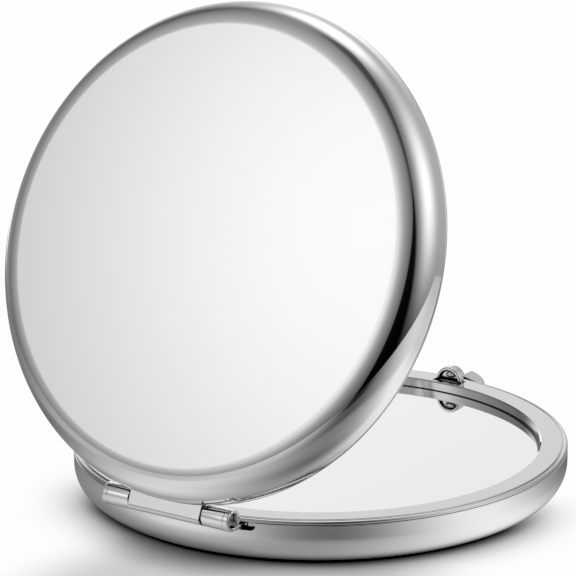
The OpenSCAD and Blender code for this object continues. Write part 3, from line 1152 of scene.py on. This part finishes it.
@dataclass
class Hinge:
    """The two rolled leaves: outer knuckles on the base, the middle one on the lid."""

    sizes: HalfSizes = SIZES
    curl_end: float = 211.0
    edge: float = 0.1
    swage: float = 0.2
    flare: float = 1.2
    pin_sink: float = 0.7
    pin_edge: float = 0.15
    rivet_r: float = 0.45
    rivet_sink: float = 0.03
    rivet_edge: float = 0.05
    groove_at: float = 0.85
    groove_w: float = 0.16
    groove_d: float = 0.09
    lug_edge: float = 0.7

    def ring(self, x: float, outer: float, inner: float, lug: float) -> list[Spot]:
        """One section of a leaf with its curl, across X.

        Args:
            x: place of the section.
            outer: outer radius of the curl.
            inner: radius of its bore.
            lug: radius of the curl's corner under the leaf, which is outer on a round knuckle.

        Returns:
            The section's points.
        """
        s = self.sizes
        y, z = s.hinge_y, s.parting_z
        path: list[Point] = [(s.leaf_in_y, s.leaf_z), (s.tab_y, s.leaf_z)]

        def arc(cy: float, cz: float, radius: float, start: float, end: float, pieces: int) -> None:
            """Add an arc's points.

            Args:
                cy: its centre along Y.
                cz: its centre along Z.
                radius: its radius.
                start: degrees where it starts.
                end: degrees where it ends.
                pieces: the number of its runs.
            """
            for i in range(pieces + 1):
                a = math.radians(start + (end - start) * i / pieces)
                path.append((cy + radius * math.cos(a), cz + radius * math.sin(a)))

        arc(y + outer - lug, z - outer + lug, lug, -90, 0, 18)
        arc(y, z, outer, 2, self.curl_end, 40)
        arc(y, z, inner, self.curl_end, -90, 40)
        path += [(s.tab_y, s.leaf_z + s.leaf_t), (s.leaf_in_y, s.leaf_z + s.leaf_t)]
        return [(x, py, pz) for py, pz in path]

    def knuckle(self, shape: Shape, start: float, end: float, lug: float | None,
                swaged: int = 0) -> None:
        """Add one knuckle with its part of the leaf.

        Args:
            shape: the mesh that it is added to.
            start: its lowest X.
            end: its highest X.
            lug: radius of the corner under the leaf, or None for a round knuckle.
            swaged: -1 or 1 for the end that is swaged over the pin, or 0.
        """
        s = self.sizes
        stations: list[Spot] = []
        for way, at in ((1, start), (-1, end)):
            rounding = self.swage if way == -swaged else self.edge
            for i in range(7):
                a = math.pi / 2 * i / 6
                inset, fall = rounding * (1 - math.cos(a)), rounding * (1 - math.sin(a))
                stations.append((at + way * inset, s.knuckle_r - fall, s.bore_r + fall * self.flare))
            if way == -swaged:
                for share, depth in ((-0.5, 0.0), (-0.3, 0.8), (0.0, 1.0), (0.3, 0.8), (0.5, 0.0)):
                    stations.append((at + way * (self.groove_at + share * self.groove_w),
                                     s.knuckle_r - depth * self.groove_d, s.bore_r))
        loft([self.ring(x, outer, inner, min(lug or outer, outer))
              for x, outer, inner in sorted(stations)], shape)

    def build_base_leaf(self) -> None:
        """Build the base's leaf with its two outer knuckles."""
        s = self.sizes
        mesh = bpy.data.meshes.new("base_leaf")
        half, low, high = s.outer_x - s.outer_len / 2, s.leaf_z, s.leaf_z + s.leaf_t
        corners = [(s.leaf_in_y, low), (s.tab_y, low), (s.tab_y, high), (s.leaf_in_y, high)]
        with editing(mesh) as shape:
            for way in (-1, 1):
                start, end = sorted((way * half, way * (half + s.outer_len)))
                self.knuckle(shape, start, end, None, way)
            loft([[(x, y, z) for y, z in corners] for x in (-half, half)], shape)
            bmesh.ops.recalc_face_normals(shape, faces=shape.faces)
        complete(link_mesh("base_leaf", mesh), Side.BASE, HINGE_CHROME, "hinge_base_leaf")

    def build_lid_leaf(self) -> None:
        """Build the lid's leaf, whose knuckle keeps the leaf's flat face to its edge."""
        mesh = bpy.data.meshes.new("lid_leaf")
        with editing(mesh) as shape:
            self.knuckle(shape, -self.sizes.mid_len / 2, self.sizes.mid_len / 2, self.lug_edge)
            bmesh.ops.recalc_face_normals(shape, faces=shape.faces)
        complete(link_mesh("lid_leaf", mesh), Side.LID, SHADED_LUG_CHROME, "hinge_lid_leaf")

    def build_rivets(self, lathe: Lathe, row: RivetRow, side: Side, spacing: float) -> None:
        """Turn a rivet and lay it twice under one leaf.

        Args:
            lathe: the lathe that turns it.
            row: the tree that repeats it.
            side: the half whose leaf it holds.
            spacing: distance of each from the middle.
        """
        s = self.sizes
        r, head = self.rivet_r, 0.9 * self.rivet_r
        top = s.leaf_t * 1.5 - self.rivet_sink
        profile = Profile().corner(0, -head).bow((2 * r - head / 2, -head / 2), head / 2, -90, 90, 8)
        profile.corner(r, 0).corner(r, top, self.rivet_edge).corner(0, top)
        piece = lathe.turn(f"{side.value}_rivets", profile, STEEL, 48)
        row.run(piece, STEEL, {"Half spacing": spacing, "Count": 2})
        piece.data.transform(Matrix.Translation((0, s.rivet_y, s.leaf_z)))
        complete(piece, side, STEEL, f"hinge_{side.value}_rivets")

    def build_pin(self, lathe: Lathe) -> None:
        """Turn the pin, whose cut ends sit a little inside the swaged knuckles.

        Args:
            lathe: the lathe that turns it.
        """
        s = self.sizes
        half = s.outer_x + s.outer_len / 2 - self.pin_sink
        profile = Profile()
        profile.corner(0, -half).corner(s.pin_r, -half, self.pin_edge)
        profile.corner(s.pin_r, half, self.pin_edge).corner(0, half)
        pin = lathe.turn("pin", profile, PIN_STEEL, 96)
        pin.data.transform(Matrix.Translation((0, s.hinge_y, s.parting_z)) @ Cutter.turns["X"])
        complete(pin, Side.BASE, PIN_STEEL, "hinge_pin")


@dataclass
class Latch:
    """The round-headed hook and the thumb button, which slide as one."""

    lathe: Lathe
    sizes: HalfSizes = SIZES
    head_r: float = 2.1
    head_t: float = 1.8
    head_edge: float = 0.35
    rim_w: float = 0.4
    rim_edge: float = 0.2
    rim_in_edge: float = 0.15
    rim_slope: float = 0.2
    sunk: float = 0.42
    sunk_edge: float = 0.08
    boss: Spot = (0.85, 0.4, 0.42)
    boss_x: float = -0.2
    boss_z: float = 7.95
    head_z: float = 6.95
    nose_y: float = 34.15
    nose_z: float = 7.95
    plate_w: float = 4.3
    plate_top_z: float = 6.96
    slide_z: float = 2.75
    slide_top_z: float = 3.35
    slide_len: float = 6.5
    slide_tail_z: float = 1.35
    slide_tail_t: float = 0.6
    button_r: float = 4.0
    button_y: float = 34.7
    button_z: float = 2.9
    button_h: float = 3.4
    button_edge: float = 0.8
    pad_y: float = 35.85
    pad_z: float = 6.95
    pad_edge: float = 0.25
    pad_fall: float = 0.2
    block_edge: float = 0.1
    lap: float = 0.1

    def coin(self, name: str, thick: float, edge: float) -> Piece:
        """Turn a disc of the button's radius, and set it in the button's place.

        Args:
            name: the new object's name.
            thick: its thickness.
            edge: radius of its edges.

        Returns:
            The disc.
        """
        r = self.button_r
        profile = Profile().corner(0, 0).corner(r, 0, edge).corner(r, thick, edge * 0.98)
        for step in range(6, -1, -1):
            profile.corner((r - edge) * step / 6, thick)
        disc = self.lathe.turn(name, profile, LATCH_CHROME, 192)
        disc.data.transform(Matrix.Translation((0, -self.button_y, self.button_z)))
        return disc

    def join_blocks(self, piece: Piece, *blocks: tuple[float, ...]) -> None:
        """Add boxes with rounded edges to a piece's mesh.

        Args:
            piece: the piece that they are added to.
            blocks: each box as width in X, lowest and highest Y, lowest and highest Z.
        """
        with editing(piece.data) as shape:
            for block in blocks:
                mesh = bpy.data.meshes.new("box")
                with editing(mesh) as box:
                    bmesh.ops.create_cube(box, size=1.0, matrix=box_place(*block))
                    bmesh.ops.bevel(box, geom=box.edges, offset=self.block_edge, segments=3,
                                    profile=0.5, affect="EDGES")
                shape.from_mesh(mesh)

    def build_hook(self) -> None:
        """Build the hook: plate, slide and the round head with its rim and polished boss."""
        s = self.sizes
        r, t = self.head_r, self.head_t
        rim_r, floor = r - self.rim_w, t - self.sunk
        profile = Profile().corner(0, 0).corner(r, 0, self.head_edge).corner(r, t, self.rim_edge)
        profile.corner(rim_r, t, self.rim_in_edge).corner(rim_r - self.rim_slope, floor, self.sunk_edge)
        profile.corner(0, floor)
        head = self.lathe.turn("hook", profile, LATCH_CHROME, 192)
        upright = Matrix.Rotation(-math.pi / 2, 4, "X")
        head.data.transform(Matrix.Translation((0, -self.nose_y, self.head_z)) @ upright)
        face_y = -self.nose_y - OVER
        cutter = Cutter().block(WIDE, face_y, -s.hook_y, -OVER, self.nose_z)
        cutter.block(WIDE, -s.hook_in_y, OVER, -OVER, s.half_h + self.lap)
        cutter.block(WIDE, face_y, OVER, -OVER, s.half_h - self.head_r / 2).cut(head)
        boss_place = Matrix.Translation((self.boss_x, floor - self.nose_y, self.boss_z))
        with editing(head.data) as shape:
            bmesh.ops.create_uvsphere(shape, u_segments=48, v_segments=24, radius=1.0,
                                      matrix=boss_place @ Matrix.Diagonal((*self.boss, 1.0)))
        end_y = self.slide_len - s.hook_in_y
        self.join_blocks(
            head, (self.plate_w, -s.hook_y, -s.hook_in_y, self.slide_z, self.plate_top_z),
            (s.hook_w, -s.hook_in_y - self.lap, end_y, self.slide_z, self.slide_top_z),
            (s.hook_w / 2, end_y - self.slide_tail_t, end_y, self.slide_tail_z, self.slide_top_z))
        complete(head, Side.BASE, LATCH_CHROME, "latch_hook", "latch")

    def build_button(self) -> None:
        """Build the half-round thumb button, its thin roofed pad and its stem."""
        s = self.sizes
        low, edge = self.button_z, self.button_edge
        button = self.coin("button", self.button_h, edge)
        Cutter().block(WIDE, -self.button_y + edge, OVER, -OVER, HIGH).cut(button)
        pad = self.coin("button_pad", self.pad_z - low, self.pad_edge)
        room = Cutter().block(WIDE, -self.pad_y, OVER, -OVER, HIGH)
        room.block(WIDE, -s.body_r - s.half_h, OVER, -OVER, low + OVER).cut(pad)
        for vertex in pad.data.vertices:
            if vertex.co.z > low + self.button_h / 2:
                vertex.co.z -= self.pad_fall * abs(vertex.co.x)
        with editing(button.data) as shape:
            shape.from_mesh(pad.data)
        bpy.data.objects.remove(pad)
        self.join_blocks(button, (s.hook_w - 2 * edge, -self.button_y, -s.hook_y, low + edge,
                                  low + self.button_h - edge))
        complete(button, Side.BASE, LATCH_CHROME, "latch_button", "latch")


@dataclass
class Dresser:
    """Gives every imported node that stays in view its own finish."""

    finishes: dict[str, Finish] = field(default_factory=lambda: {
        "base_mirror": BASE_GLASS,
        "base_mirror_pad": FOAM, "lid_mirror_pad": FOAM,
        "base_tray": PLASTIC, "lid_tray": PLASTIC,
        "latch_guide": STEEL, "latch_spring": STEEL,
    })

    def dress(self) -> None:
        """Put each node's material into its slots."""
        for node, finish in self.finishes.items():
            mesh = frame["nodes"][node].data
            mesh.materials.clear()
            mesh.materials.append(finish.material())
            log.info("dressed %s in %s", node, finish.name)


@dataclass(frozen=True)
class SoftBox:
    """A soft lamp far round the object, as metal sees it: brightest in the middle."""

    azimuth: float
    elevation: float
    level: float
    focus: float


@dataclass(frozen=True)
class Pool:
    """A painted pool of light on the table, as metal sees it, from a radius outward at one bearing;
    below 0 it paints shade.
    """

    azimuth: float
    level: float
    focus: float
    start: float
    end: float = 1.0


@dataclass(frozen=True)
class Card:
    """A dark card between two lamps, bounded by great circles through pairs of places."""

    depth: float
    edges: tuple[tuple[Point, Point, float], ...]


@dataclass(frozen=True)
class Viewpoint:
    """The photograph's camera, as fitted to the outlines of the lid, the base and the ring."""

    azimuth: float = 215.6
    elevation: float = 17.1
    roll: float = -0.32
    distance: float = 0.814
    aim: Spot = (0.00555, 0.0, 0.02847)
    focal_px: float = 5761.0
    frame_px: float = 576.0
    sensor_mm: float = 36.0


@dataclass
class Studio:
    """Table, soft light and camera."""

    table_size: float = 6.0
    lit_radius: float = 0.19
    lamps: tuple[SoftBox, ...] = (
        SoftBox(144, 23.7, 0.4, 120), SoftBox(159, 21.6, 0.4, 27), SoftBox(150, 28.3, 0.44, 2.2),
        SoftBox(342, 16.5, 0.42, 1.7), SoftBox(30, 58.7, 1.32, 18), SoftBox(49.5, -5.8, 1.46, 7.3),
        SoftBox(288, 33.3, 0.92, 7), SoftBox(35.6, 17.1, 0.1, 14),
    )
    # Painted pools of light on the table as metal sees it; those below 0 are painted shade.
    pools: tuple[Pool, ...] = (
        Pool(267, 0.74, 7, 0.029, 0.075), Pool(267, 0.4, 5, 0.075), Pool(310, 0.3, 3, 0.075),
        Pool(172, 0.56, 8, 0.04, 0.075), Pool(148, 0.33, 9, 0.075), Pool(90, 0.06, 5, 0.06),
        Pool(66, 0.8, 14, 0.02, 0.062), Pool(212, 0.04, 6, 0.0, 0.045),
        Pool(182, 0.36, 18, 0.076), Pool(226, -0.12, 12, 0.085), Pool(214, -0.1, 60, 0.13),
        Pool(190, 0.13, 6, 0.028, 0.044), Pool(238, 0.14, 14, 0.028, 0.042),
        Pool(218, -0.09, 10, 0.042, 0.053), Pool(126, 0.1, 20, 0.0, 0.05),
    )
    # painted light level where no pool reaches, and the softness of the pools' edges
    pool_floor: float = 0.14
    pool_edge: float = 0.008
    darkest: float = 0.02
    white: float = 0.985
    paint: float = 0.95
    # Reach in metres of the painted contact shadow and of the wider painted shade round the object.
    contact: float = 0.01
    hollow: float = 0.06
    under_level: float = 0.4
    # Bearing towards which the table's painted shadow is strongest, and a round painted shadow patch:
    # centre x and y, radius, darkest level.
    shade_side: float = 205.0
    painted_shadow_patch: tuple[float, float, float, float] = (-0.0205, 0.0493, 0.03, 0.64)
    cards: tuple[Card, ...] = (
        Card(0.965, (((206.7, -4), (222, 45), 0.025), ((248, -4), (230, 45), 0.078))),
        Card(0.5, (((70, 0), (70, 40), 0.145), ((86.5, 0), (86.5, 40), 0.145))),
        Card(0.66, (((222, 40), (207, 61), 0.09), ((226.5, 40), (229, 60), 0.03),
                    ((35, 80), (125, 0), 0.08))),
    )

    def glow(self, chain: NodeChain, direction: Socket, aim: Vector, focus: float,
             level: Socket | float) -> Socket:
        """Light of a level where a direction meets its aim, and less beside it as the focus says."""
        facing = chain.math("MAXIMUM", chain.measure("DOT_PRODUCT", direction, aim), 0.0)
        return chain.math("MULTIPLY", chain.math("POWER", facing, focus), level)

    def build_world(self) -> None:
        """Light the object evenly, and show metal the lamps and the cards between them."""
        world = bpy.data.worlds.new("studio")
        bpy.context.scene.world = world
        world.use_nodes = True
        world.cycles.sampling_method = "NONE"
        chain = NodeChain(world.node_tree)
        direction = chain.add("ShaderNodeTexCoord").outputs["Generated"]
        below = chain.measure("DOT_PRODUCT", direction, (0.0, 0.0, -1.0))
        level = chain.ramp(below, 0.3, 0.42, 0.01, self.under_level)
        for lamp in self.lamps:
            aim = toward(lamp.azimuth, lamp.elevation)
            level = chain.math("ADD", self.glow(chain, direction, aim, lamp.focus, lamp.level), level)
        for card in self.cards:
            shade: Socket | float = 1.0
            for (start, end, soft), sign in zip(card.edges, (-1, 1, 1)):
                normal = toward(*start).cross(toward(*end)).normalized() * sign
                inside = chain.ramp(chain.measure("DOT_PRODUCT", direction, normal), -soft, soft)
                shade = chain.math("MULTIPLY", shade, inside)
            left = chain.math("SUBTRACT", 1.0, chain.math("MULTIPLY", shade, card.depth))
            level = chain.math("MULTIPLY", level, left)
        ray = chain.add("ShaderNodeLightPath").outputs
        seen = chain.add("ShaderNodeBackground", Color=WHITE, Strength=level)
        plain = chain.add("ShaderNodeBackground", Color=WHITE, Strength=1.0)
        mix = chain.switch(ray["Is Glossy Ray"], plain, seen)
        chain.add("ShaderNodeOutputWorld", Surface=mix.outputs[0])

    def build_table(self) -> None:
        """Lay a pale table: white with painted shadow to the eye, painted pools of light and contact
        shade to metal.
        """
        half = self.table_size / 2
        mesh = bpy.data.meshes.new("table")
        mesh.from_pydata([(-half, -half, 0), (half, -half, 0), (half, half, 0), (-half, half, 0)], [],
                         [(0, 1, 2, 3)])
        table = link_mesh("table", mesh)
        material, chain, place = new_material("pale_table")
        ray = chain.add("ShaderNodeLightPath").outputs
        away = chain.measure("LENGTH", place)
        # Painted shadow: ambient occlusion darkens the table near the object, and a round patch darkens
        # it further.
        tight, wide = (chain.open_air(distance, 24) for distance in (self.contact, self.hollow))
        near_shade = chain.math("POWER", chain.ramp(tight, 0.0, 0.95), 1.1)
        lee_x, lee_y, lee_r, lee_level = self.painted_shadow_patch
        to_lee = chain.measure("DISTANCE", place, (lee_x, lee_y, 0.0))
        painted_shadow_patch = chain.ramp(to_lee, lee_r * 0.75, lee_r * 1.25, lee_level, 1.0)
        lit = chain.math("MULTIPLY", near_shade, chain.ramp(wide, 0.1, 0.9, 0.87, 1.0))
        bearing = chain.vector("NORMALIZE", place)
        side = chain.measure("DOT_PRODUCT", bearing, toward(self.shade_side, 0.0))
        # Painted shadow as the eye sees it, strongest towards the shade side.
        fall = chain.math("SUBTRACT", 1.0, chain.math("MULTIPLY", lit, painted_shadow_patch))
        fall = chain.math("MULTIPLY", fall, chain.ramp(side, -0.1, 0.5))
        white_less_shadow = chain.math("SUBTRACT", self.white, fall)
        # White emission with the painted shadow, for camera rays.
        matt = chain.add("ShaderNodeEmission", Color=WHITE, Strength=white_less_shadow)
        paint = chain.add("ShaderNodeBsdfDiffuse", Color=(*[self.paint] * 3, 1.0), Roughness=1.0)
        # Painted light as metal sees it: pools round the object, darkened near it by painted contact
        # shade.
        pool_light: Socket | float = self.pool_floor
        soft = self.pool_edge
        for pool in self.pools:
            rise = chain.ramp(away, pool.start - soft, pool.start + soft, 0.0, pool.level)
            fade = chain.ramp(away, pool.end - soft, pool.end + soft, 1.0, 0.0)
            reach = chain.math("MULTIPLY", rise, fade)
            glow = self.glow(chain, bearing, toward(pool.azimuth, 0.0), pool.focus, reach)
            pool_light = chain.math("ADD", glow, pool_light)
        pool_light = chain.math("MAXIMUM", pool_light, self.darkest)
        pool_light = chain.math("MULTIPLY", pool_light, chain.ramp(tight, 0.05, 0.48))
        painted_glow = chain.add("ShaderNodeEmission", Color=WHITE, Strength=pool_light)
        past = chain.math("GREATER_THAN", away, self.lit_radius)
        near = chain.switch(past, painted_glow, chain.add("ShaderNodeBsdfTransparent"))
        unseen = chain.switch(ray["Is Glossy Ray"], paint, near)
        mix = chain.switch(ray["Is Camera Ray"], unseen, matt)
        chain.add("ShaderNodeOutputMaterial", Surface=mix.outputs[0])
        mesh.materials.append(material)

    def build_camera(self) -> None:
        """Set the camera at the photograph's viewing angle."""
        view = Viewpoint()
        back = toward(view.azimuth, view.elevation)
        right = toward(view.azimuth + 90, 0.0)
        up = back.cross(right)
        turn = math.radians(view.roll)
        right, up = (right * math.cos(turn) + up * math.sin(turn),
                     up * math.cos(turn) - right * math.sin(turn))
        data = bpy.data.cameras.new("camera")
        data.sensor_width = view.sensor_mm
        data.lens = view.focal_px / view.frame_px * view.sensor_mm
        data.clip_start = 0.01
        camera = bpy.data.objects.new("camera", data)
        bpy.context.scene.collection.objects.link(camera)
        place = Vector(view.aim) + back * view.distance
        facing = Matrix((right, up, back)).transposed().to_4x4()
        camera.matrix_world = Matrix.Translation(place) @ facing
        bpy.context.scene.camera = camera


def main() -> None:
    """Build the studio, make the compact's pieces and dress the rest."""
    logging.basicConfig(level=logging.INFO, format="%(name)s: %(message)s")
    bpy.context.scene.view_settings.view_transform = "Standard"
    studio = Studio()
    studio.build_camera()
    studio.build_world()
    studio.build_table()
    lathe = Lathe()
    BaseHalf(Side.BASE, lathe).build()
    LidHalf(Side.LID, lathe).build()
    hinge = Hinge()
    hinge.build_base_leaf()
    hinge.build_lid_leaf()
    hinge.build_pin(lathe)
    row = RivetRow()
    hinge.build_rivets(lathe, row, Side.BASE, SIZES.outer_x)
    hinge.build_rivets(lathe, row, Side.LID, SIZES.mid_len / 3)
    latch = Latch(lathe)
    latch.build_hook()
    latch.build_button()
    Dresser().dress()


if __name__ == "__main__":
    main()
